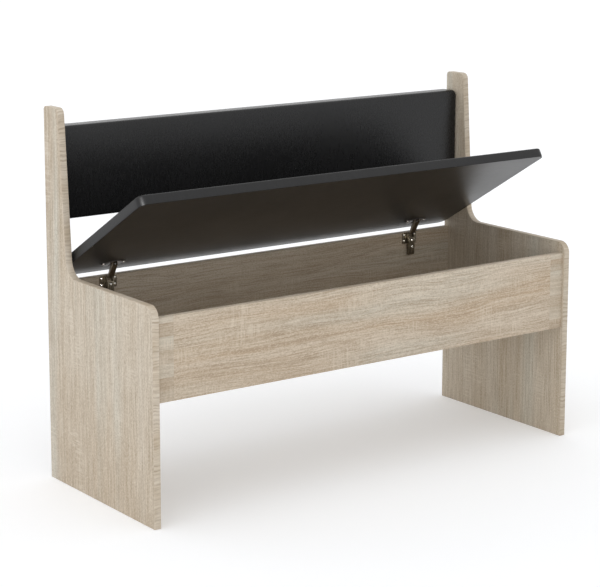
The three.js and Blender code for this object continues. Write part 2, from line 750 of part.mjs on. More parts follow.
// Whole bench, with its origin on the floor under the middle of its outline
function buildBench() {
  const rearCorner = turned(flat(lid.edgeRound, lid.thickness - lid.edgeRound), lidAngle);
  const rearmost = rearInner - openEdge.x - rearCorner.x + lid.edgeRound;
  const bench = groupAt(0, -rearmost / 2, 0);
  bench.add(sidePanel('left_side_panel', -1));
  bench.add(sidePanel('right_side_panel', 1));
  bench.add(buildBox());
  Object.keys(camPlaces).forEach((name) => bench.add(camFittings(name)));
  bench.add(buildBackrest());
  bench.add(buildLid());
  bench.add(hingeOnPanel('left_hinge', -hingeX));
  bench.add(hingeOnPanel('right_hinge', hingeX));
  const model = new THREE.Group();
  model.add(bench);
  return model;
}

export default buildBench();
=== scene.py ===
"""Looks of a storage bench with a hinged, upholstered lid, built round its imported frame."""

import json
import math

import bpy
from mathutils import Matrix, Vector

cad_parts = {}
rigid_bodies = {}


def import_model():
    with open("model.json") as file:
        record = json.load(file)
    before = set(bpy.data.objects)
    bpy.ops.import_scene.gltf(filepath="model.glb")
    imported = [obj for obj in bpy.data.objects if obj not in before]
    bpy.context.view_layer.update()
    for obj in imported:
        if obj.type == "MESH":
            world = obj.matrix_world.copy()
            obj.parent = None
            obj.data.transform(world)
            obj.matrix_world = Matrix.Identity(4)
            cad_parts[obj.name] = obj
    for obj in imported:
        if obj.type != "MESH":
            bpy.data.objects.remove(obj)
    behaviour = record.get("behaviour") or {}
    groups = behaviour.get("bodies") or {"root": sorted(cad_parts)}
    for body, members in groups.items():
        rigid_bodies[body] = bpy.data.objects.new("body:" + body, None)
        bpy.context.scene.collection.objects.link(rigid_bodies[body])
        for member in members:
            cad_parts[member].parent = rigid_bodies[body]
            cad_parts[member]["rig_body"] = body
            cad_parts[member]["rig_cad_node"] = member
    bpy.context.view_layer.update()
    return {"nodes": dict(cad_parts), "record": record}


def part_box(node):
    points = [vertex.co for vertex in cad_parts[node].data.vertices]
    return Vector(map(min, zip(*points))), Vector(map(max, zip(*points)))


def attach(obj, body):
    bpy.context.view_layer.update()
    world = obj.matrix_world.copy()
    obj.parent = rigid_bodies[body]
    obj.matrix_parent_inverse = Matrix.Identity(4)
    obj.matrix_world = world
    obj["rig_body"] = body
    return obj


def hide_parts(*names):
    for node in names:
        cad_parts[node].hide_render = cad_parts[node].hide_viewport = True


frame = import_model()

bl_info = {
    "name": "Storage bench",
    "version": (1, 0, 0),
    "blender": (4, 5, 0),
    "location": "3D View > Sidebar > Bench",
    "description": "Boards, upholstery, hinges and stage of a storage bench",
    "category": "Object",
}

TO_RIGHT = Vector((1, 0, 0))
TO_FRONT = Vector((0, -1, 0))
UP = Vector((0, 0, 1))
WHITE = (1.0, 1.0, 1.0, 1.0)
# UNTINTED leaves a finish without painted shade
UNTINTED = (1.0, 1.0, 1.0, 1.0)

# Modelling: lengths in metres, angles in degrees, and how squarely a face looks in a direction
SAME_PLACE = 0.0002
MERGE_WITHIN = 0.000002
FLAT_WITHIN = 1
SOFTENED_FROM = 38
BAND_FROM = 60
ROUGHLY = 0.7
SQUARELY = 0.95
EXACTLY = 0.99
HARDLY = 0.01

# Pads: where the skin's small faces begin and how large they are, and up to where it is held
QUILT_MARGIN = 0.008
QUILT_STEP = 0.014
HELD_ABOVE_TUCK = 0.001
SEAT_TUCK = 0.004
BACK_TUCK = 0.006
SKIN_FRAMES = (1, 20)

# Screws: shares of the head's height and radius, and where below the head the shank is measured
HEAD_RIM = 0.15
RECESS_DEPTH = 0.45
RECESS_LENGTH = 0.52
RECESS_WIDTH = 0.13
HEAD_OUTER = 0.9
SHANK_BELOW = 0.001

# Stage: the photograph's size in pixels, and which way the two lamps shine
IMAGE_WIDTH = 600
IMAGE_HEIGHT = 587
SENSOR_WIDTH = 36
KEY_COURSE = (0.62, 0.36, -1.05)
GLINT_COURSE = (0.68, 0.63, -0.37)
FLOOR_RADIUS = 60
FLOOR_DROP = 0.0002

# Oak decor. It shifts across a board by this share of the way through it, and the end strips
# are cut from another place of it and laid in blocks
SHIFT_THROUGH = 0.7
STRIP_PLACE = (3.7, 0.31)
STRIP_BLOCKS = 34.0
STRIP_SHARE = 0.36
SIDE_SWAY = 0.03
BOX_SWAY = 0.06
RIPPLE = 0.004

# Each pattern: changes for a metre along and for a metre across, detail, and place in the decor
OAK_PATTERNS = {
    "sway": (1.5, 5.0, 2, 0.0),
    "ripple": (9.0, 24.0, 2, 0.0),
    "broad": (0.7, 20.0, 3, 0.0),
    "cool": (0.8, 12.0, 2, 5.0),
    "middle": (1.8, 100.0, 3, 0.0),
    "fine": (6.0, 290.0, 2, 0.0),
    "fibre": (15.0, 600.0, 2, 0.0),
    "pores": (60.0, 1000.0, 1, 0.0),
    "grain": (230.0, 430.0, 2, 9.0),
    "sawn": (300.0, 22.0, 2, 0.0),
    "patch": (8.0, 17.0, 1, 0.0),
}

# Each mark: its pattern, from and to which value it fades, its share at both, and its tone
OAK_MARKS = (
    ("middle", 0.50, 0.78, 0.0, 0.42, "line_tone"),
    ("middle", 0.28, 0.46, 0.3, 0.0, "fleck_tone"),
    ("fine", 0.50, 0.70, 0.0, 0.52, "line_tone"),
    ("fine", 0.32, 0.48, 0.42, 0.0, "fleck_tone"),
    ("fibre", 0.52, 0.66, 0.0, 0.5, "line_tone"),
    ("fibre", 0.34, 0.46, 0.5, 0.0, "fleck_tone"),
    ("pores", 0.60, 0.70, 0.0, 0.4, "line_tone"),
    ("grain", 0.52, 0.68, 0.0, 0.5, "line_tone"),
    ("grain", 0.30, 0.47, 0.55, 0.0, "fleck_tone"),
)

# Each broad streak: place across the board from its front or lower edge, half width, tone,
# share, slant, and its middle and reach along the board
LEFT_SIDE_STREAKS = (
    (0.1456, 0.032, "grey_tone", 0.9, 0.0, 0.3, 0.25),
    (0.2486, 0.02, "streak_tone", 0.7, 0.0, 0.2, 0.4),
    (0.2056, 0.3, "pale_tone", 0.6, 0.0, 0.36, 0.14),
    (0.2056, 0.3, "streak_tone", 0.45, 0.0, 0.0, 0.28),
    (0.4366, 0.03, "streak_tone", 0.4, 0.0, 0.5, 0.5),
)
RIGHT_SIDE_STREAKS = (
    (0.1156, 0.03, "grey_tone", 0.8, 0.0, 0.2, 0.4),
    (0.2156, 0.02, "streak_tone", 0.6, 0.0, 0.2, 0.4),
)
FRONT_STREAKS = (
    (0.045, 0.05, "streak_tone", 0.5, 0.0, -0.4, 0.42),
    (0.080, 0.011, "streak_tone", 0.8, 0.0, -0.1, 0.6),
    (0.092, 0.036, "streak_tone", 0.9, 0.09, 0.38, 0.28),
    (0.142, 0.045, "streak_tone", 0.45, 0.0, -0.24, 0.3),
    (0.160, 0.05, "grey_tone", 0.7, 0.0, 0.16, 0.26),
    (0.024, 0.024, "grey_tone", 0.8, 0.0, 0.1, 0.22),
)
STREAK_CORE = 0.25
STREAK_FULL_REACH = 0.4

# Each metal: its finish, its tone, roughness where smoothest and roughest, and mottling
METALS = (
    ("nickel_links", "dark_steel", 0.24, 0.34, 0.6),
    ("nickel_plates", "pale_nickel", 0.22, 0.32, 0.7),
    ("nickel_arms", "arm_nickel", 0.22, 0.32, 0.6),
    # The cups' darker nickel is painted shade under the lid
    ("nickel_cups", "cup_nickel", 0.26, 0.36, 0.6),
    ("plated_screws", "bright_steel", 0.12, 0.2, 0.92),
    ("cast_zinc", "zinc", 0.38, 0.5, 0.8),
)
HINGE_METALS = {"arm": "nickel_arms", "plate": "nickel_plates", "cup": "nickel_cups"}


def srgb(red, green, blue):
    """Linear colour of a tone written as it looks on a screen, from 0 to 255."""
    def linear(value):
        share = value / 255
        return share / 12.92 if share <= 0.04045 else ((share + 0.055) / 1.055) ** 2.4
    return (linear(red), linear(green), linear(blue), 1.0)


# Sizes and colours that a user would change

class BenchBoards(bpy.types.PropertyGroup):
    """Sizes and tones of the oak boards"""
    seat_level: bpy.props.FloatProperty(
        name="Seat level", description="Height of the side boards' front part",
        default=0.479, unit="LENGTH")
    seat_round: bpy.props.FloatProperty(
        name="Seat round", description="Radius of the side boards' front corner",
        default=0.027, unit="LENGTH")
    upright_top: bpy.props.FloatProperty(
        name="Upright top", description="Width of the upright at its top",
        default=0.063, unit="LENGTH")
    upright_slope: bpy.props.FloatProperty(
        name="Upright slope", description="Widening of the upright for each metre down",
        default=0.023 / 0.33)
    fillet: bpy.props.FloatProperty(
        name="Fillet", description="Radius of the hollow between the upright and the seat level",
        default=0.041, unit="LENGTH")
    top_front_round: bpy.props.FloatProperty(
        name="Top front round", description="Radius of the upright's front top corner",
        default=0.015, unit="LENGTH")
    top_rear_round: bpy.props.FloatProperty(
        name="Top rear round", description="Radius of the upright's rear top corner",
        default=0.009, unit="LENGTH")
    edge_softness: bpy.props.FloatProperty(
        name="Edge softness", description="Radius along the edge band",
        default=0.0008, unit="LENGTH")
    pale_tone: bpy.props.FloatVectorProperty(
        name="Pale tone", description="Pale streaks of the oak",
        subtype="COLOR", size=4, min=0, max=1, default=srgb(209, 198, 182))
    warm_tone: bpy.props.FloatVectorProperty(
        name="Warm tone", description="Warm streaks of the oak",
        subtype="COLOR", size=4, min=0, max=1, default=srgb(194, 178, 156))
    line_tone: bpy.props.FloatVectorProperty(
        name="Line tone", description="Fine dark lines of the grain",
        subtype="COLOR", size=4, min=0, max=1, default=srgb(160, 143, 121))
    fleck_tone: bpy.props.FloatVectorProperty(
        name="Fleck tone", description="Pale marks across the grain",
        subtype="COLOR", size=4, min=0, max=1, default=srgb(222, 213, 198))
    grey_tone: bpy.props.FloatVectorProperty(
        name="Grey tone", description="Cool grey streaks of the oak",
        subtype="COLOR", size=4, min=0, max=1, default=srgb(203, 201, 190))
    streak_tone: bpy.props.FloatVectorProperty(
        name="Streak tone", description="Broad darker warm streaks of the oak",
        subtype="COLOR", size=4, min=0, max=1, default=srgb(188, 167, 141))


class BenchUpholstery(bpy.types.PropertyGroup):
    """Sizes and tones of the two pads"""
    seat_corner: bpy.props.FloatProperty(
        name="Seat corner", description="Radius of the lid's corners",
        default=0.018, unit="LENGTH")
    seat_edge: bpy.props.FloatProperty(
        name="Seat edge", description="Radius along the lid's upper edge",
        default=0.004, unit="LENGTH")
    seat_crown: bpy.props.FloatProperty(
        name="Seat crown", description="Rise of the lid's middle",
        default=0.001, unit="LENGTH")
    back_corner: bpy.props.FloatProperty(
        name="Backrest corner", description="Radius of the backrest's corners",
        default=0.0125, unit="LENGTH")
    back_edge: bpy.props.FloatProperty(
        name="Backrest edge", description="Radius along the backrest's front edge",
        default=0.006, unit="LENGTH")
    back_crown: bpy.props.FloatProperty(
        name="Backrest crown", description="Rise of the backrest's middle",
        default=0.0015, unit="LENGTH")
    draw_in: bpy.props.FloatProperty(
        name="Draw in", description="How far the cover draws in where it meets the board",
        default=0.0006, unit="LENGTH")
    leather_tone: bpy.props.FloatVectorProperty(
        name="Leather tone", description="Black artificial leather",
        subtype="COLOR", size=4, min=0, max=1, default=srgb(23, 23, 24))
    underside_tone: bpy.props.FloatVectorProperty(
        name="Underside tone", description="Black face of the lid's board",
        subtype="COLOR", size=4, min=0, max=1, default=srgb(22, 20, 19))


class BenchFittings(bpy.types.PropertyGroup):
    """Tones of the hinges, screws and cam fittings"""
    edge_softness: bpy.props.FloatProperty(
        name="Edge softness", description="Radius along the edges of the metal pieces",
        default=0.0002, unit="LENGTH")
    dark_steel: bpy.props.FloatVectorProperty(
        name="Dark steel", description="Nickel plated links of the hinges",
        subtype="COLOR", size=4, min=0, max=1, default=srgb(130, 119, 105))
    pale_nickel: bpy.props.FloatVectorProperty(
        name="Pale nickel", description="Nickel plated plates of the hinges",
        subtype="COLOR", size=4, min=0, max=1, default=srgb(154, 146, 131))
    arm_nickel: bpy.props.FloatVectorProperty(
        name="Arm nickel", description="Nickel plated arms of the hinges",
        subtype="COLOR", size=4, min=0, max=1, default=srgb(132, 124, 109))
    # The cups are given a darker nickel than the plates: painted shade under the lid
    cup_nickel: bpy.props.FloatVectorProperty(
        name="Cup nickel", description="Darker plated cups of the hinges",
        subtype="COLOR", size=4, min=0, max=1, default=srgb(112, 105, 101))
    bright_steel: bpy.props.FloatVectorProperty(
        name="Bright steel", description="Screw heads, pins and bolts",
        subtype="COLOR", size=4, min=0, max=1, default=srgb(244, 242, 236))
    zinc: bpy.props.FloatVectorProperty(
        name="Zinc", description="Cast cams",
        subtype="COLOR", size=4, min=0, max=1, default=srgb(176, 176, 170))


class BenchStage(bpy.types.PropertyGroup):
    """Floor, light and camera"""
    focal_pixels: bpy.props.FloatProperty(
        name="Focal length in pixels",
        description="Focal length on an image 600 pixels wide", default=1972.8)
    centre_across: bpy.props.FloatProperty(
        name="Centre across",
        description="Pixel where the camera's axis meets the image, across", default=281.06)
    centre_down: bpy.props.FloatProperty(
        name="Centre down",
        description="Pixel where the camera's axis meets the image, down", default=215.0)
    yaw: bpy.props.FloatProperty(
        name="Yaw", description="Turn of the camera to the right of straight back",
        default=math.radians(35.565), subtype="ANGLE")
    pitch: bpy.props.FloatProperty(
        name="Pitch", description="Turn of the camera down",
        default=math.radians(10.593), subtype="ANGLE")
    place: bpy.props.FloatVectorProperty(
        name="Place",
        description="Camera's place from the middle of the side boards' front edges on the floor",
        subtype="TRANSLATION", unit="LENGTH", default=(-2.665878, -3.362416, 1.410404))
    dome_low: bpy.props.FloatProperty(
        name="Low dome",
        description="Strength of the light from all round, near the floor", default=1.18)
    dome_high: bpy.props.FloatProperty(
        name="High dome", description="Strength of the light from straight above", default=0.72)
    key: bpy.props.FloatProperty(
        name="Key", description="Strength of the broad lamp high at the left", default=0.40)
    key_spread: bpy.props.FloatProperty(
        name="Key spread", description="How wide the broad lamp looks from the bench",
        default=math.radians(55), subtype="ANGLE")
    glint: bpy.props.FloatProperty(
        name="Glint", description="Strength of the small lamp that shows in gloss alone",
        default=3.0)
    glint_spread: bpy.props.FloatProperty(
        name="Glint spread", description="How wide the small lamp looks from the bench",
        default=math.radians(7), subtype="ANGLE")
    floor_tone: bpy.props.FloatVectorProperty(
        name="Floor tone", description="Plain pale floor, as light falls on it",
        subtype="COLOR", size=4, min=0, max=1, default=(0.9, 0.9, 0.9, 1.0))
    floor_seen: bpy.props.FloatVectorProperty(
        name="Seen floor",
        description="Tone of the floor that the camera sees, as light falls on it",
        subtype="COLOR", size=4, min=0, max=1, default=(0.872, 0.884, 0.903, 1.0))
    floor_white: bpy.props.FloatProperty(
        name="Floor white", description="White that the camera sees on the floor in any light",
        default=0.2, min=0, max=1)


# Node helpers

class Nodes:
    """Adds nodes to a material or a world and joins them."""

    def __init__(self, owner, output_kind):
        owner.use_nodes = True
        self.tree = owner.node_tree
        self.tree.nodes.clear()
        self.output = self.add(output_kind)

    def add(self, kind, **values):
        node = self.tree.nodes.new(kind)
        for key, value in values.items():
            setattr(node, key, value)
        return node

    def join(self, source, target):
        """Links an output to a socket, or gives the socket a number or a colour."""
        if hasattr(source, "is_output"):
            self.tree.links.new(source, target)
        else:
            target.default_value = source

    def fed(self, kind, *sources, **values):
        """First output of a new node whose first sockets take the sources in order."""
        node = self.add(kind, **values)
        for source, target in zip(sources, node.inputs):
            self.join(source, target)
        return node.outputs[0]

    def place(self):
        """Object coordinates, whole and as separate X, Y and Z."""
        whole = self.add("ShaderNodeTexCoord").outputs["Object"]
        split = self.add("ShaderNodeSeparateXYZ")
        self.join(whole, split.inputs[0])
        return {"whole": whole, **dict(zip("xyz", split.outputs))}

    def math(self, operation, first, second=0.0, third=0.0):
        return self.fed("ShaderNodeMath", first, second, third, operation=operation)

    def vector(self, *parts):
        """Three parts as one vector: each is a number, a place, or a place and its scale."""
        sources = [self.math("MULTIPLY", *part) if isinstance(part, tuple) else part
                   for part in parts]
        return self.fed("ShaderNodeCombineXYZ", *sources)

    def noise(self, vector, scale=1.0, detail=2.0, roughness=0.5):
        node = self.add("ShaderNodeTexNoise")
        self.join(vector, node.inputs["Vector"])
        self.join(scale, node.inputs["Scale"])
        self.join(detail, node.inputs["Detail"])
        self.join(roughness, node.inputs["Roughness"])
        return node.outputs[0]

    def ramp(self, value, low, high, to_low=0.0, to_high=1.0):
        """Goes from to_low to to_high while the value goes from low to high."""
        return self.fed("ShaderNodeMapRange", value, low, high, to_low, to_high, clamp=True)

    def blend(self, share, first, second, kind="MIX"):
        """Two colours, which a mix node takes at its sockets 6 and 7."""
        node = self.add("ShaderNodeMix", data_type="RGBA", blend_type=kind)
        self.join(share, node.inputs[0])
        self.join(first, node.inputs[6])
        self.join(second, node.inputs[7])
        return node.outputs[2]

    def show(self, share, first, second):
        """Sends a mix of two shaders to the output."""
        mix = self.fed("ShaderNodeMixShader", share, first, second)
        self.join(mix, self.output.inputs[0])

    def seen_directly(self):
        """1 on rays that should see plain white: from the camera, in gloss and through glass."""
        path = self.add("ShaderNodeLightPath").outputs
        either = self.math("MAXIMUM", path["Is Camera Ray"], path["Is Glossy Ray"])
        return self.math("MAXIMUM", either, path["Is Transmission Ray"])


class Finish(Nodes):
    """A material with one shader, fed by numbers, colours and patterns."""

    def __init__(self, name):
        self.material = bpy.data.materials.new(name)
        super().__init__(self.material, "ShaderNodeOutputMaterial")
        self.shader = self.add("ShaderNodeBsdfPrincipled")
        self.join(self.shader.outputs[0], self.output.inputs[0])

    def bump(self, height, strength, distance):
        node = self.add("ShaderNodeBump")
        self.join(strength, node.inputs["Strength"])
        self.join(distance, node.inputs["Distance"])
        self.join(height, node.inputs["Height"])
        self.join(node.outputs[0], self.shader.inputs["Normal"])

    def shade(self, **values):
        """Feeds the shader's sockets, each named with _ for a space."""
        for name, value in values.items():
            self.join(value, self.shader.inputs[name.replace("_", " ")])


# Finishes

def oak_face(name, node, axes, seed, sway, streaks=(), strip_start=None, painted_shade_tint=UNTINTED):
    """Sawn oak decor with fine lines along a board and pale saw marks across them.

    The axes lead along, across and through the board.
    """
    tones = bpy.context.scene.bench_boards
    oak = Finish(name)
    place = oak.place()
    along, across, through = (place[axis] for axis in axes)
    run = oak.math("ADD", along, seed)
    side = oak.math("MULTIPLY_ADD", through, SHIFT_THROUGH, across)
    if strip_start:
        strip = oak.math("GREATER_THAN", oak.math("ABSOLUTE", along), strip_start)
        run = oak.math("MULTIPLY_ADD", strip, STRIP_PLACE[0], run)
        side = oak.math("MULTIPLY_ADD", strip, STRIP_PLACE[1], side)

    def pattern(kind, source):
        per_run, per_side, detail, shift = OAK_PATTERNS[kind]
        where = oak.vector((run, per_run), (source, per_side), seed + shift)
        return oak.noise(where, 1, detail, 0.6)

    def bent(source, kind, amount):
        """The place across, led to and fro by a slow pattern."""
        turn = oak.math("SUBTRACT", pattern(kind, side), 0.5)
        return oak.math("MULTIPLY_ADD", turn, amount, source)

    swayed = bent(side, "sway", sway)
    rippled = bent(swayed, "ripple", RIPPLE)
    marks = {kind: pattern(kind, rippled) for kind in ("middle", "fine", "fibre", "pores")}
    marks["grain"] = pattern("grain", side)

    warm = oak.ramp(pattern("broad", swayed), 0.36, 0.66)
    grey = oak.ramp(pattern("cool", swayed), 0.52, 0.68, 0.0, 0.9)
    colour = oak.blend(warm, tones.pale_tone, tones.warm_tone)
    colour = oak.blend(grey, colour, tones.grey_tone)

    corner = dict(zip("xyz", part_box(node)[0]))
    edge = corner[axes[1]] + SHIFT_THROUGH * corner[axes[2]]
    for number, (centre, half_width, tone, share, slant, middle, reach) in enumerate(streaks):
        past = oak.math("SUBTRACT", along, middle)
        line = oak.math("MULTIPLY_ADD", past, slant, edge + centre)
        off = oak.math("ABSOLUTE", oak.math("SUBTRACT", swayed, line))
        body = oak.ramp(off, STREAK_CORE * half_width, half_width, share, 0.0)
        fade = oak.noise(oak.vector((run, 2.6), (side, 9.0), seed + number))
        amount = oak.math("MULTIPLY", body, oak.ramp(fade, 0.3, 0.6, 0.5, 1.0))
        ends = oak.ramp(oak.math("ABSOLUTE", past), STREAK_FULL_REACH * reach, reach, 1.0, 0.0)
        colour = oak.blend(oak.math("MULTIPLY", amount, ends), colour, getattr(tones, tone))

    for kind, low, high, at_low, at_high, tone in OAK_MARKS:
        share = oak.ramp(marks[kind], low, high, at_low, at_high)
        colour = oak.blend(share, colour, getattr(tones, tone))

    if strip_start:
        level = oak.math("FLOOR", oak.math("MULTIPLY", across, STRIP_BLOCKS))
        end = oak.math("SIGN", along)
        lot = oak.noise(oak.vector((end, 5.3), 0.4, (level, 0.77)), 1, 0)
        block_tone = oak.blend(oak.ramp(lot, 0.42, 0.56), tones.grey_tone, tones.line_tone)
        colour = oak.blend(oak.math("MULTIPLY", strip, STRIP_SHARE), colour, block_tone)

    sawn = pattern("sawn", side)
    patch = oak.ramp(pattern("patch", side), 0.57, 0.66, 0.0, 0.42)
    share = oak.math("MULTIPLY", oak.ramp(sawn, 0.48, 0.62), patch)
    colour = oak.blend(share, colour, tones.fleck_tone)
    # A tint below one darkens the whole board: painted shade, standing in for less light on it
    if painted_shade_tint != UNTINTED:
        colour = oak.blend(1.0, colour, painted_shade_tint, "MULTIPLY")

    height = oak.math("MULTIPLY_ADD", marks["fine"], -0.6, oak.math("MULTIPLY", sawn, 0.25))
    oak.bump(height, 0.12, 0.0004)
    rough = oak.ramp(marks["fine"], 0.3, 0.7, 0.5, 0.66)
    oak.shade(Base_Color=colour, Roughness=rough, Specular_IOR_Level=0.35)


def oak_band(name, painted_shade_tint):
    """Edge band of the side boards: the same decor with its lines running across the edge."""
    tones = bpy.context.scene.bench_boards
    band = Finish(name)
    place = band.place()
    x = place["x"]
    down = band.math("ADD", place["z"], place["y"])
    bowed = band.noise(band.vector((x, 40.0), (down, 9.0), 1.0))
    down = band.math("MULTIPLY_ADD", bowed, 0.012, down)
    lines = band.noise(band.vector((x, 14.0), (down, 190.0), 3.0), 1, 3, 0.6)
    warm = band.noise(band.vector((x, 14.0), (down, 12.0), 8.0))
    strong = band.noise(band.vector(0.0, (down, 3.5), 4.0), 1, 1)
    colour = band.blend(band.ramp(warm, 0.35, 0.68), tones.pale_tone, tones.warm_tone)
    share = band.math("MULTIPLY", band.ramp(lines, 0.48, 0.66),
                      band.ramp(strong, 0.4, 0.6, 0.45, 0.95))
    colour = band.blend(share, colour, tones.line_tone)
    colour = band.blend(band.ramp(lines, 0.30, 0.46, 0.6, 0.0), colour, tones.fleck_tone)
    # A tint below one darkens the whole edge band: painted shade, standing in for less light on
    # it
    if painted_shade_tint != UNTINTED:
        colour = band.blend(1.0, colour, painted_shade_tint, "MULTIPLY")
    band.bump(lines, 0.08, 0.0003)
    band.shade(Base_Color=colour, Roughness=0.5, Specular_IOR_Level=0.4)


def black_leather(name, across, up, smoothest, roughest):
    """Black artificial leather: fine pebbled grain with a faint draw in one direction."""
    tones = bpy.context.scene.bench_upholstery
    leather = Finish(name)
    place = leather.place()
    cells = leather.add("ShaderNodeTexVoronoi", feature="DISTANCE_TO_EDGE")
    leather.join(place["whole"], cells.inputs["Vector"])
    leather.join(620.0, cells.inputs["Scale"])
    pebble = leather.ramp(cells.outputs[0], 0.0, 0.22)
    streaked = leather.vector((place[across], 190.0), (place[up], 55.0), 0.0)
    drawn = leather.noise(streaked, 1, 2, 0.6)
    soft = leather.noise(place["whole"], 9.0)
    colour = leather.blend(leather.ramp(drawn, 0.44, 0.66, 0.0, 0.45),
                           tones.leather_tone, (0.0155, 0.0155, 0.0165, 1))
    # The hollows between the pebbles are darkened: painted shade in the grain's hollows
    colour = leather.blend(leather.ramp(pebble, 0.0, 1.0, 0.45, 0.0),
                           colour, (0.003, 0.003, 0.003, 1))
    height = leather.math("ADD", leather.math("MULTIPLY", pebble, 0.6),
                          leather.math("MULTIPLY", drawn, 0.5))
    leather.bump(leather.math("MULTIPLY_ADD", soft, 1.5, height), 0.16, 0.0005)
    rough = leather.math("ADD", leather.ramp(drawn, 0.3, 0.7, smoothest, roughest),
                         leather.ramp(soft, 0.3, 0.7, -0.02, 0.03))
    leather.shade(Base_Color=colour, Roughness=rough, Specular_IOR_Level=0.38)


def black_board(name):
    """Satin black face of the lid's board."""
    tones = bpy.context.scene.bench_upholstery
    board = Finish(name)
    place = board.place()
    lines = board.vector((place["x"], 40.0), (place["y"], 700.0), (place["z"], 700.0))
    grain = board.noise(lines, 1, 3, 0.6)
    cloud = board.noise(place["whole"], 5.0)
    colour = board.blend(board.ramp(grain, 0.45, 0.75, 0.0, 0.5),
                         tones.underside_tone, (0.02, 0.018, 0.015, 1))
    board.bump(grain, 0.06, 0.0002)
    rough = board.math("ADD", board.ramp(grain, 0.3, 0.7, 0.29, 0.35),
                       board.ramp(cloud, 0.3, 0.7, -0.02, 0.03))
    board.shade(Base_Color=colour, Roughness=rough, Specular_IOR_Level=0.5)


def plated_metal(name, tone, smoothest, roughest, mottling):
    """Plated steel or cast zinc: fine rolling marks, a little mottled."""
    metal = Finish(name)
    place = metal.place()
    lines = metal.vector((place["x"], 900.0), (place["y"], 90.0), (place["z"], 90.0))
    rolled = metal.noise(lines, 1, 3, 0.6)
    cloud = metal.noise(place["whole"], 160.0, 3)
    darker = tuple(channel * mottling for channel in tone[:3]) + (1.0,)
    colour = metal.blend(metal.ramp(cloud, 0.35, 0.7), tone, darker)
    metal.bump(rolled, 0.05, 0.0001)
    rough = metal.math("ADD", metal.ramp(rolled, 0.3, 0.7, smoothest, roughest),
                       metal.ramp(cloud, 0.3, 0.7, 0.0, 0.06))
    metal.shade(Base_Color=colour, Roughness=rough, Metallic=1.0)


def finishes():
    """All the finishes of the bench, made on the first call."""
    if "oak_side_left" in bpy.data.materials:
        return bpy.data.materials
    oak_face("oak_side_left", "left_side_panel", "zyx", 11.3, SIDE_SWAY, LEFT_SIDE_STREAKS)
    # The right board is tinted darker than the left one, which has the same decor: painted shade
    oak_face("oak_side_right", "right_side_panel", "zyx", 4.1, SIDE_SWAY, RIGHT_SIDE_STREAKS,
             painted_shade_tint=(0.94, 0.94, 0.93, 1))
    # The front board's tint makes it warmer and darker than the sides: a warmer tone of its own,
    # and painted shade of the front, which gets less light than the sides
    oak_face("oak_front", "front_panel", "xzy", 2.6, BOX_SWAY, FRONT_STREAKS,
             strip_start=0.532, painted_shade_tint=(0.935, 0.895, 0.855, 1))
    # The rear and bottom boards are tinted much darker: painted shade of the box's inside. The
    # backrest's board takes the rear finish, and so this shade too
    oak_face("oak_rear", "rear_panel", "xzy", 7.9, BOX_SWAY, painted_shade_tint=(0.775, 0.74, 0.695, 1))
    oak_face("oak_bottom", "bottom_panel", "xyz", 5.2, BOX_SWAY, painted_shade_tint=(0.78, 0.74, 0.69, 1))
    oak_band("oak_edge_left", UNTINTED)
    # The right edge band is tinted darker than the left one: painted shade
    oak_band("oak_edge_right", (0.87, 0.865, 0.85, 1))
    black_leather("black_leather_back", "x", "z", 0.24, 0.30)
    black_leather("black_leather_seat", "x", "y", 0.36, 0.42)
    black_board("black_board_face")
    tones = bpy.context.scene.bench_fittings
    for name, tone, smoothest, roughest, mottling in METALS:
        plated_metal(name, tuple(getattr(tones, tone)), smoothest, roughest, mottling)
    return bpy.data.materials


# Modelling helpers

def to_object_mode():
    bpy.ops.object.mode_set(mode="OBJECT")


def select_none():
    """Ends any edit and deselects every object."""
    if bpy.context.object and bpy.context.object.mode != "OBJECT":
        to_object_mode()
    bpy.ops.object.select_all(action="DESELECT")


def pick(piece):
    """Selects one piece alone."""
    select_none()
    piece.select_set(True)
    bpy.context.view_layer.objects.active = piece


def choose(piece, kind, passes):
    """Selects the faces or edges that pass a test, and goes to edit mode."""
    pick(piece)
    bpy.ops.object.mode_set(mode="EDIT")
    bpy.ops.mesh.select_mode(type=kind)
    bpy.ops.mesh.select_all(action="DESELECT")
    to_object_mode()
    for part in piece.data.polygons if kind == "FACE" else piece.data.edges:
        part.select = bool(passes(part))
    bpy.ops.object.mode_set(mode="EDIT")


def choose_faces(piece, passes):
    choose(piece, "FACE", passes)


def choose_edges(piece, test):
    """Selects the edges whose two ends pass a test together, and goes to edit mode."""
    def passes(edge):
        first, second = (piece.data.vertices[end].co for end in edge.vertices)
        return test(first, second)
    choose(piece, "EDGE", passes)


def every_face(face):
    return True


def face_down(face):
    return face.normal.z < -EXACTLY


def near(value, target):
    return abs(value - target) < SAME_PLACE


def box_round(places):
    """Lowest and highest corner of the box round some places."""
    return (Vector(min(place[axis] for place in places) for axis in range(3)),
            Vector(max(place[axis] for place in places) for axis in range(3)))


def block(name, low, high):
    """A box between two corners, as a start for a piece."""
    select_none()
    bpy.ops.mesh.primitive_cube_add(size=1, location=(Vector(low) + Vector(high)) / 2)
    piece = bpy.context.object
    piece.name = name
    piece.scale = Vector(high) - Vector(low)
    bpy.ops.object.transform_apply(location=True, rotation=True, scale=True)
    return piece


def soften(piece, width, from_degrees):
    """Rounds every edge that is sharper than an angle."""
    pick(piece)
    bevel = piece.modifiers.new("edges", "BEVEL")
    bevel.width = width
    bevel.segments = 2
    bevel.limit_method = "ANGLE"
    bevel.angle_limit = math.radians(from_degrees)
    bpy.ops.object.modifier_apply(modifier=bevel.name)


def smooth(piece, degrees):
    pick(piece)
    bpy.ops.object.shade_smooth_by_angle(angle=math.radians(degrees), keep_sharp_edges=False)


def own_copy(source, name):
    """A copy with its own mesh, which rides on nothing yet."""
    piece = source.copy()
    piece.data = source.data.copy()
    piece.name = name
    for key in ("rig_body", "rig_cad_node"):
        if key in piece:
            del piece[key]
    piece.parent = None
    bpy.context.scene.collection.objects.link(piece)
    return piece


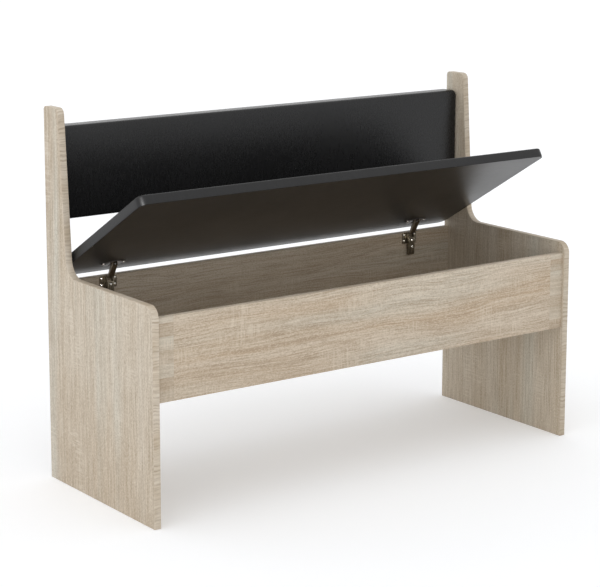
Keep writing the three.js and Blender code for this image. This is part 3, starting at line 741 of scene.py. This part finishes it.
def fine_copy(node, softness):
    """A merged copy of a node with its edges softened and its curves smoothed."""
    piece = own_copy(frame["nodes"][node], node + "_fine")
    pick(piece)
    bpy.ops.object.mode_set(mode="EDIT")
    bpy.ops.mesh.select_all(action="SELECT")
    bpy.ops.mesh.remove_doubles(threshold=MERGE_WITHIN)
    bpy.ops.mesh.dissolve_limited(angle_limit=math.radians(FLAT_WITHIN))
    to_object_mode()
    soften(piece, softness, SOFTENED_FROM)
    smooth(piece, 32)
    return piece


def cover_with(piece, *materials):
    """Gives a piece its materials in place of what it had."""
    piece.data.materials.clear()
    for material in materials:
        piece.data.materials.append(material)


def settle(piece, body, slot, *replaced):
    """Puts a finished piece on its body and hides the nodes that it stands for; the slot is not
    used.
    """
    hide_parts(*replaced)
    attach(piece, body)


# Side boards

def side_board(name, node):
    """L-shaped board: seat level at the front, upright at the back, rounded corners."""
    sizes = bpy.context.scene.bench_boards
    low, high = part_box(node)
    level = sizes.seat_level
    top_front = high.y - sizes.upright_top
    level_front = top_front - sizes.upright_slope * (high.z - level)
    board = block(name, low, (high.x, high.y, level))
    choose_faces(board, every_face)
    bpy.ops.mesh.bisect(plane_co=(0, level_front, 0), plane_no=(0, 1, 0))
    to_object_mode()
    choose_faces(board, lambda face: near(face.center.z, level) and face.center.y > level_front)
    bpy.ops.mesh.extrude_region_move(TRANSFORM_OT_translate={"value": (0, 0, high.z - level)})
    to_object_mode()

    def across_at(y, z):
        return lambda *ends: all(near(end.y, y) and near(end.z, z) for end in ends)

    choose_edges(board, across_at(level_front, high.z))
    bpy.ops.transform.translate(value=(0, top_front - level_front, 0))
    to_object_mode()

    lean = math.atan(sizes.upright_slope)
    set_back = math.tan((math.pi / 2 - lean) / 2)
    rounds = (
        (low.y, level, sizes.seat_round, 14),
        (level_front, level, sizes.fillet * set_back, 22),
        (top_front, high.z, sizes.top_front_round * set_back, 10),
        (high.y, high.z, sizes.top_rear_round, 8),
    )
    for y, z, offset, steps in rounds:
        choose_edges(board, across_at(y, z))
        bpy.ops.mesh.bevel(offset=offset, segments=steps, affect="EDGES", clamp_overlap=False)
        to_object_mode()
    soften(board, sizes.edge_softness, BAND_FROM)
    smooth(board, 28)
    return board


class BENCH_OT_side_boards(bpy.types.Operator):
    """Model a side board and copy it for the other side"""
    bl_idname = "bench.side_boards"
    bl_label = "Side boards"

    def execute(self, context):
        left = side_board("side_board_left", "left_side_panel")
        right = own_copy(left, "side_board_right")
        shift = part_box("right_side_panel")[0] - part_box("left_side_panel")[0]
        right.data.transform(Matrix.Translation(shift))
        for board, side in ((left, "left"), (right, "right")):
            cover_with(board, finishes()["oak_side_" + side], finishes()["oak_edge_" + side])
            for face in board.data.polygons:
                face.material_index = 0 if abs(face.normal.x) > SQUARELY else 1
            settle(board, "carcass", "oak_laminate", side + "_side_panel")
        return {"FINISHED"}


# Boards of the box and of the backrest

class BENCH_OT_box_boards(bpy.types.Operator):
    """Finish the boards of the storage box and the backrest's board"""
    bl_idname = "bench.box_boards"
    bl_label = "Box boards"

    def execute(self, context):
        softness = context.scene.bench_boards.edge_softness / 2
        # The rear finish, which the backrest's board shares, and the bottom finish carry painted
        # shade of the box's inside
        for node, material in (("front_panel", "oak_front"), ("rear_panel", "oak_rear"),
                               ("bottom_panel", "oak_bottom"), ("backrest_board", "oak_rear")):
            board = fine_copy(node, softness)
            cover_with(board, finishes()[material])
            settle(board, "carcass", "oak_laminate", node)
        return {"FINISHED"}


# Pads

def outer_normal(board, outward):
    """Direction in which the outer face of a board looks."""
    total = Vector((0, 0, 0))
    for face in frame["nodes"][board].data.polygons:
        if face.normal.dot(outward) > ROUGHLY:
            total += face.normal * face.area
    return total.normalized()


def upright_turn(out):
    """The turn that brings a piece modelled upright to look along out."""
    return Matrix((TO_RIGHT, out.cross(TO_RIGHT), out)).transposed()


def turned_back(node, turn):
    """The places of a node's mesh, turned back upright."""
    back = turn.transposed()
    return [back @ vertex.co for vertex in frame["nodes"][node].data.vertices]


def quilt(piece, low, high, margin):
    """Cuts the outer skin into small even faces, so that it can swell."""
    middle = (low + high) / 2

    def inner(face):
        away = face.center - middle
        outwards = face.normal.x * away.x + face.normal.y * away.y
        return face.normal.z < -HARDLY or (abs(face.normal.z) < HARDLY and outwards < 0)

    choose_faces(piece, inner)
    bpy.ops.mesh.hide(unselected=False)
    for axis, normal in ((0, (1, 0, 0)), (1, (0, 1, 0))):
        first, last = low[axis] + margin, high[axis] - margin
        count = max(2, round((last - first) / QUILT_STEP))
        for step in range(count + 1):
            place = [0.0, 0.0, 0.0]
            place[axis] = first + (last - first) * step / count
            bpy.ops.mesh.select_all(action="SELECT")
            bpy.ops.mesh.bisect(plane_co=place, plane_no=normal)
    bpy.ops.mesh.reveal(select=False)
    to_object_mode()


def swell(piece, held_below, rise):
    """Inflates the skin as cloth over its foam, held where it meets the board."""
    before = [vertex.co.copy() for vertex in piece.data.vertices]
    group = piece.vertex_groups.new(name="held")
    held = [vertex.index for vertex in piece.data.vertices if vertex.co.z < held_below]
    group.add(held, 1.0, "REPLACE")
    pick(piece)
    cloth = piece.modifiers.new("skin", "CLOTH")
    skin = cloth.settings
    skin.quality = 6
    skin.mass = 0.05
    skin.tension_stiffness = 30
    skin.compression_stiffness = 30
    skin.bending_stiffness = 2
    skin.use_pressure = True
    skin.uniform_pressure_force = 4
    skin.vertex_group_mass = group.name
    skin.effector_weights.gravity = 0
    first, last = SKIN_FRAMES
    cloth.point_cache.frame_start = first
    cloth.point_cache.frame_end = last
    for number in range(first, last + 1):
        bpy.context.scene.frame_set(number)
    bpy.ops.object.modifier_apply(modifier=cloth.name)
    bpy.context.scene.frame_set(first)
    piece.vertex_groups.clear()
    lifts = [vertex.co.z - start.z for vertex, start in zip(piece.data.vertices, before)]
    highest = max(lifts)
    if highest <= 0:
        raise RuntimeError("the skin of " + piece.name + " did not swell")
    for vertex, start, lift in zip(piece.data.vertices, before, lifts):
        vertex.co = start + UP * (max(0.0, lift) * rise / highest)


def pad(name, board, cover, outward, corner, edge, crown, tuck, draw_in):
    """A taut pad: rounded corners and upper edge, a swelled face, sides drawn in at the board."""
    turn = upright_turn(outer_normal(board, outward))
    low, high = box_round(turned_back(cover, turn))
    board_low, board_high = box_round(turned_back(board, turn))
    flat_top = high.z - crown
    piece = block(name, low, (high.x, high.y, flat_top))
    choose_edges(piece, lambda a, b: near(a.x, b.x) and near(a.y, b.y))
    bpy.ops.mesh.bevel(offset=corner, segments=10, affect="EDGES", clamp_overlap=False)
    to_object_mode()
    choose_edges(piece, lambda a, b: near(a.z, flat_top) and near(b.z, flat_top))
    bpy.ops.mesh.bevel(offset=edge, segments=7, affect="EDGES", clamp_overlap=False)
    to_object_mode()
    choose_faces(piece, every_face)
    bpy.ops.mesh.bisect(plane_co=(0, 0, low.z + tuck), plane_no=(0, 0, 1))
    to_object_mode()
    middle = (low + high) / 2
    for vertex in piece.data.vertices:
        if near(vertex.co.z, low.z):
            vertex.co.x -= math.copysign(draw_in, vertex.co.x - middle.x)
            vertex.co.y -= math.copysign(draw_in, vertex.co.y - middle.y)
    choose_faces(piece, face_down)
    bpy.ops.mesh.inset(thickness=board_low.x - low.x, depth=0)
    bpy.ops.transform.translate(value=(0, 0, board_high.z - board_low.z))
    to_object_mode()
    quilt(piece, low, high, corner + QUILT_MARGIN)
    swell(piece, low.z + tuck + HELD_ABOVE_TUCK, crown)
    piece.data.transform(turn.to_4x4())
    smooth(piece, 34)
    return piece


class BENCH_OT_upholstery(bpy.types.Operator):
    """Model the upholstery of the lid and of the backrest"""
    bl_idname = "bench.upholstery"
    bl_label = "Upholstery"

    def execute(self, context):
        sizes = context.scene.bench_upholstery
        seat = pad("seat_upholstery", "seat_board", "seat_cover", UP, sizes.seat_corner,
                   sizes.seat_edge, sizes.seat_crown, SEAT_TUCK, sizes.draw_in)
        cover_with(seat, finishes()["black_leather_seat"])
        settle(seat, "lid", "leatherette", "seat_cover", "seat_foam")
        rest = pad("backrest_upholstery", "backrest_board", "backrest_cover", TO_FRONT,
                   sizes.back_corner, sizes.back_edge, sizes.back_crown, BACK_TUCK, sizes.draw_in)
        cover_with(rest, finishes()["black_leather_back"])
        settle(rest, "carcass", "leatherette", "backrest_cover", "backrest_foam")
        cover_with(frame["nodes"]["seat_board"], finishes()["black_board_face"])
        return {"FINISHED"}


# Hinges

def screw_form(radius, shank, head, length):
    """A round-headed screw with a cross recess; the origin is where its head's dome begins."""
    rim = HEAD_RIM * head
    select_none()
    bpy.ops.mesh.primitive_uv_sphere_add(segments=24, ring_count=14, radius=1)
    piece = bpy.context.object
    bpy.ops.object.mode_set(mode="EDIT")
    bpy.ops.mesh.bisect(plane_co=(0, 0, 0), plane_no=(0, 0, 1), clear_inner=True, use_fill=True)
    to_object_mode()
    piece.scale = (radius, radius, head - rim)
    bpy.ops.object.transform_apply(location=True, rotation=True, scale=True)
    choose_faces(piece, face_down)
    bpy.ops.mesh.extrude_region_move(TRANSFORM_OT_translate={"value": (0, 0, -rim)})
    bpy.ops.mesh.inset(thickness=radius - shank, depth=0)
    bpy.ops.mesh.extrude_region_move(TRANSFORM_OT_translate={"value": (0, 0, -length)})
    to_object_mode()
    half, thin, floor = RECESS_LENGTH * radius, RECESS_WIDTH * radius, RECESS_DEPTH * head
    for width, depth in ((half, thin), (thin, half)):
        cutter = block("recess", (-width, -depth, floor), (width, depth, 2 * head))
        pick(piece)
        cut = piece.modifiers.new("recess", "BOOLEAN")
        cut.object = cutter
        cut.solver = "EXACT"
        bpy.ops.object.modifier_apply(modifier=cut.name)
        bpy.data.objects.remove(cutter, do_unlink=True)
    smooth(piece, 40)
    return piece


def screw(node, out, forms):
    """A screw in its node's place, its head along out; screws of one size share a form."""
    turn = upright_turn(out)
    places = turned_back(node, turn)
    low, high = box_round(places)
    centre = (low + high) / 2
    radius = high.x - centre.x
    seat = min(place.z for place in places if place.x - centre.x > HEAD_OUTER * radius)
    shank = max(place.x for place in places if place.z < seat - SHANK_BELOW) - centre.x
    head = high.z - seat
    measures = (radius, shank, head, seat - low.z)
    size = tuple(round(measure, 6) for measure in measures)
    if size not in forms:
        forms[size] = screw_form(*measures)
    piece = own_copy(forms[size], node + "_fine")
    piece.data.transform(Matrix.Translation((centre.x, centre.y, seat + HEAD_RIM * head)))
    piece.data.transform(turn.to_4x4())
    return piece


class BENCH_OT_hinges(bpy.types.Operator):
    """Finish the two cup hinges and their screws"""
    bl_idname = "bench.hinges"
    bl_label = "Hinges"

    def execute(self, context):
        softness = context.scene.bench_fittings.edge_softness
        lid_down = -outer_normal("seat_board", UP)
        forms = {}
        for body, nodes in frame["record"]["behaviour"]["bodies"].items():
            for node in nodes:
                if "_hinge_" not in node:
                    continue
                slot, metal = "bright_steel", "plated_screws"
                if "screw" in node:
                    piece = screw(node, lid_down if "_cup_" in node else TO_FRONT, forms)
                else:
                    piece = fine_copy(node, softness)
                    if not node.endswith("_pin"):
                        slot = "dark_steel"
                        metal = HINGE_METALS.get(node.split("_")[-1], "nickel_links")
                cover_with(piece, finishes()[metal])
                settle(piece, body, slot, node)
        for form in forms.values():
            bpy.data.objects.remove(form, do_unlink=True)
        return {"FINISHED"}


# Cam fittings

class BENCH_OT_fittings(bpy.types.Operator):
    """Finish the cams and bolts that hold the boards together"""
    bl_idname = "bench.fittings"
    bl_label = "Cam fittings"

    def execute(self, context):
        softness = context.scene.bench_fittings.edge_softness
        looks = {"cam": ("zinc", "cast_zinc"), "bolt": ("bright_steel", "plated_screws")}
        for node in frame["record"]["behaviour"]["bodies"]["carcass"]:
            kind = node.split("_")[-1]
            if kind in looks:
                slot, metal = looks[kind]
                piece = fine_copy(node, softness)
                cover_with(piece, finishes()[metal])
                settle(piece, "carcass", slot, node)
        return {"FINISHED"}


# Stage

def far_lamp(name, course, strength, spread, in_gloss):
    """A distant lamp that shows either in gloss or as light on the surfaces."""
    lamp = bpy.data.lights.new(name, "SUN")
    lamp.energy = strength
    lamp.angle = spread
    piece = bpy.data.objects.new(name, lamp)
    bpy.context.scene.collection.objects.link(piece)
    piece.rotation_euler = Vector(course).to_track_quat("-Z", "Y").to_euler()
    piece.visible_glossy = in_gloss
    piece.visible_diffuse = not in_gloss


def make_world(stage):
    """Light from all round, stronger near the floor, and seen as plain white."""
    world = bpy.data.worlds.new("studio")
    bpy.context.scene.world = world
    sky = Nodes(world, "ShaderNodeOutputWorld")
    height = sky.add("ShaderNodeSeparateXYZ")
    sky.join(sky.add("ShaderNodeTexCoord").outputs["Generated"], height.inputs[0])
    strength = sky.ramp(height.outputs[2], 0.0, 1.0, stage.dome_low, stage.dome_high)
    dome = sky.fed("ShaderNodeBackground", WHITE, strength)
    white = sky.fed("ShaderNodeBackground", WHITE, 1.0)
    sky.show(sky.seen_directly(), dome, white)


def make_floor(stage):
    """A round floor that keeps the bench's shadow, with some white added where it is seen."""
    select_none()
    bpy.ops.mesh.primitive_circle_add(vertices=96, radius=FLOOR_RADIUS, fill_type="NGON",
                                      location=(0, 0, -FLOOR_DROP))
    floor = bpy.context.object
    floor.name = "floor"
    material = bpy.data.materials.new("studio_floor")
    ground = Nodes(material, "ShaderNodeOutputMaterial")
    plain = ground.fed("ShaderNodeBsdfDiffuse", stage.floor_tone)
    shaded = ground.fed("ShaderNodeBsdfDiffuse", stage.floor_seen)
    white = ground.fed("ShaderNodeEmission", WHITE, stage.floor_white)
    seen = ground.fed("ShaderNodeAddShader", shaded, white)
    ground.show(ground.seen_directly(), plain, seen)
    floor.data.materials.append(material)


def make_camera(stage):
    """The camera, where the bench's edges in the photograph put it."""
    lens = bpy.data.cameras.new("camera")
    lens.sensor_width = SENSOR_WIDTH
    lens.lens = stage.focal_pixels * SENSOR_WIDTH / IMAGE_WIDTH
    lens.shift_x = (IMAGE_WIDTH / 2 - stage.centre_across) / IMAGE_WIDTH
    lens.shift_y = (stage.centre_down - IMAGE_HEIGHT / 2) / IMAGE_WIDTH
    lens.clip_end = 200
    camera = bpy.data.objects.new("camera", lens)
    bpy.context.scene.collection.objects.link(camera)
    front_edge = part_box("left_side_panel")[0].y
    camera.location = (stage.place[0], stage.place[1] + front_edge, stage.place[2])
    look = Vector((math.sin(stage.yaw) * math.cos(stage.pitch),
                   math.cos(stage.yaw) * math.cos(stage.pitch), -math.sin(stage.pitch)))
    camera.rotation_euler = look.to_track_quat("-Z", "Y").to_euler()
    bpy.context.scene.camera = camera


class BENCH_OT_stage(bpy.types.Operator):
    """Set the floor, the light and the camera"""
    bl_idname = "bench.stage"
    bl_label = "Stage"

    def execute(self, context):
        stage = context.scene.bench_stage
        make_world(stage)
        make_floor(stage)
        far_lamp("key_lamp", KEY_COURSE, stage.key, stage.key_spread, False)
        far_lamp("glint_lamp", GLINT_COURSE, stage.glint, stage.glint_spread, True)
        make_camera(stage)
        context.scene.view_settings.view_transform = "Standard"
        return {"FINISHED"}


class BENCH_PT_panel(bpy.types.Panel):
    """Steps that build the bench"""
    bl_idname = "BENCH_PT_panel"
    bl_label = "Storage bench"
    bl_space_type = "VIEW_3D"
    bl_region_type = "UI"
    bl_category = "Bench"

    def draw(self, context):
        for step in STEPS:
            self.layout.operator(step.bl_idname)


GROUPS = (
    ("bench_boards", BenchBoards),
    ("bench_upholstery", BenchUpholstery),
    ("bench_fittings", BenchFittings),
    ("bench_stage", BenchStage),
)
STEPS = (
    BENCH_OT_side_boards,
    BENCH_OT_box_boards,
    BENCH_OT_upholstery,
    BENCH_OT_hinges,
    BENCH_OT_fittings,
    BENCH_OT_stage,
)


def register():
    for name, group in GROUPS:
        bpy.utils.register_class(group)
        setattr(bpy.types.Scene, name, bpy.props.PointerProperty(type=group))
    for step in STEPS:
        bpy.utils.register_class(step)
    bpy.utils.register_class(BENCH_PT_panel)


def unregister():
    bpy.utils.unregister_class(BENCH_PT_panel)
    for step in reversed(STEPS):
        bpy.utils.unregister_class(step)
    for name, group in reversed(GROUPS):
        delattr(bpy.types.Scene, name)
        bpy.utils.unregister_class(group)


def main():
    register()
    bpy.ops.bench.side_boards()
    bpy.ops.bench.box_boards()
    bpy.ops.bench.upholstery()
    bpy.ops.bench.hinges()
    bpy.ops.bench.fittings()
    bpy.ops.bench.stage()
    select_none()


if __name__ == "__main__":
    main()
